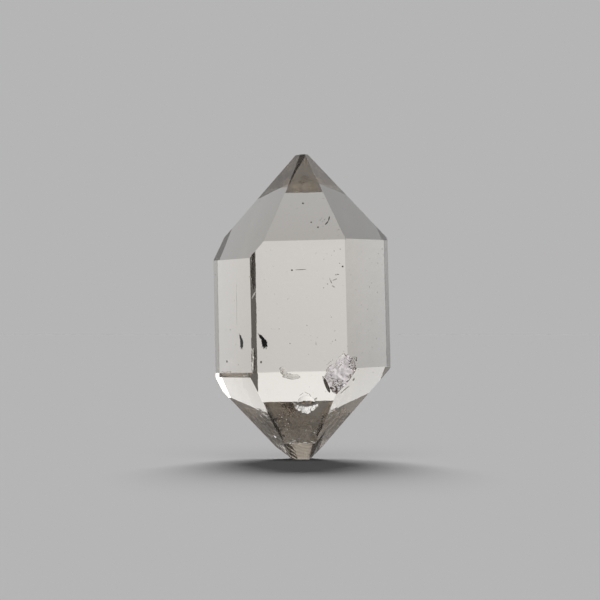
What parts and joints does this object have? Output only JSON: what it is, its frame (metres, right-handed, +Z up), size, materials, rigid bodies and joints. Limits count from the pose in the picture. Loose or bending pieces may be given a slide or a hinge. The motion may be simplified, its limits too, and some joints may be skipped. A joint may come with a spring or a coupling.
{
  "type": "herkimer diamond crystal",
  "caption": "Clear double-terminated quartz crystal, a six-sided prism with a six-faced point at each end, standing on the small flat of its lower tip.",
  "frame": {"origin": "middle of the small rest flat on the lower tip", "axes": "+Z up along the crystal, +X across its width, -Y the front prism face"},
  "size_m": [0.0175, 0.0136, 0.03],
  "materials": {
    "clear_quartz": "natural polished growth faces, clear with a faint smoky warmth"
  },
  "bodies": {
    "root": {"crystal": "clear_quartz"}
  },
  "joints": []
}
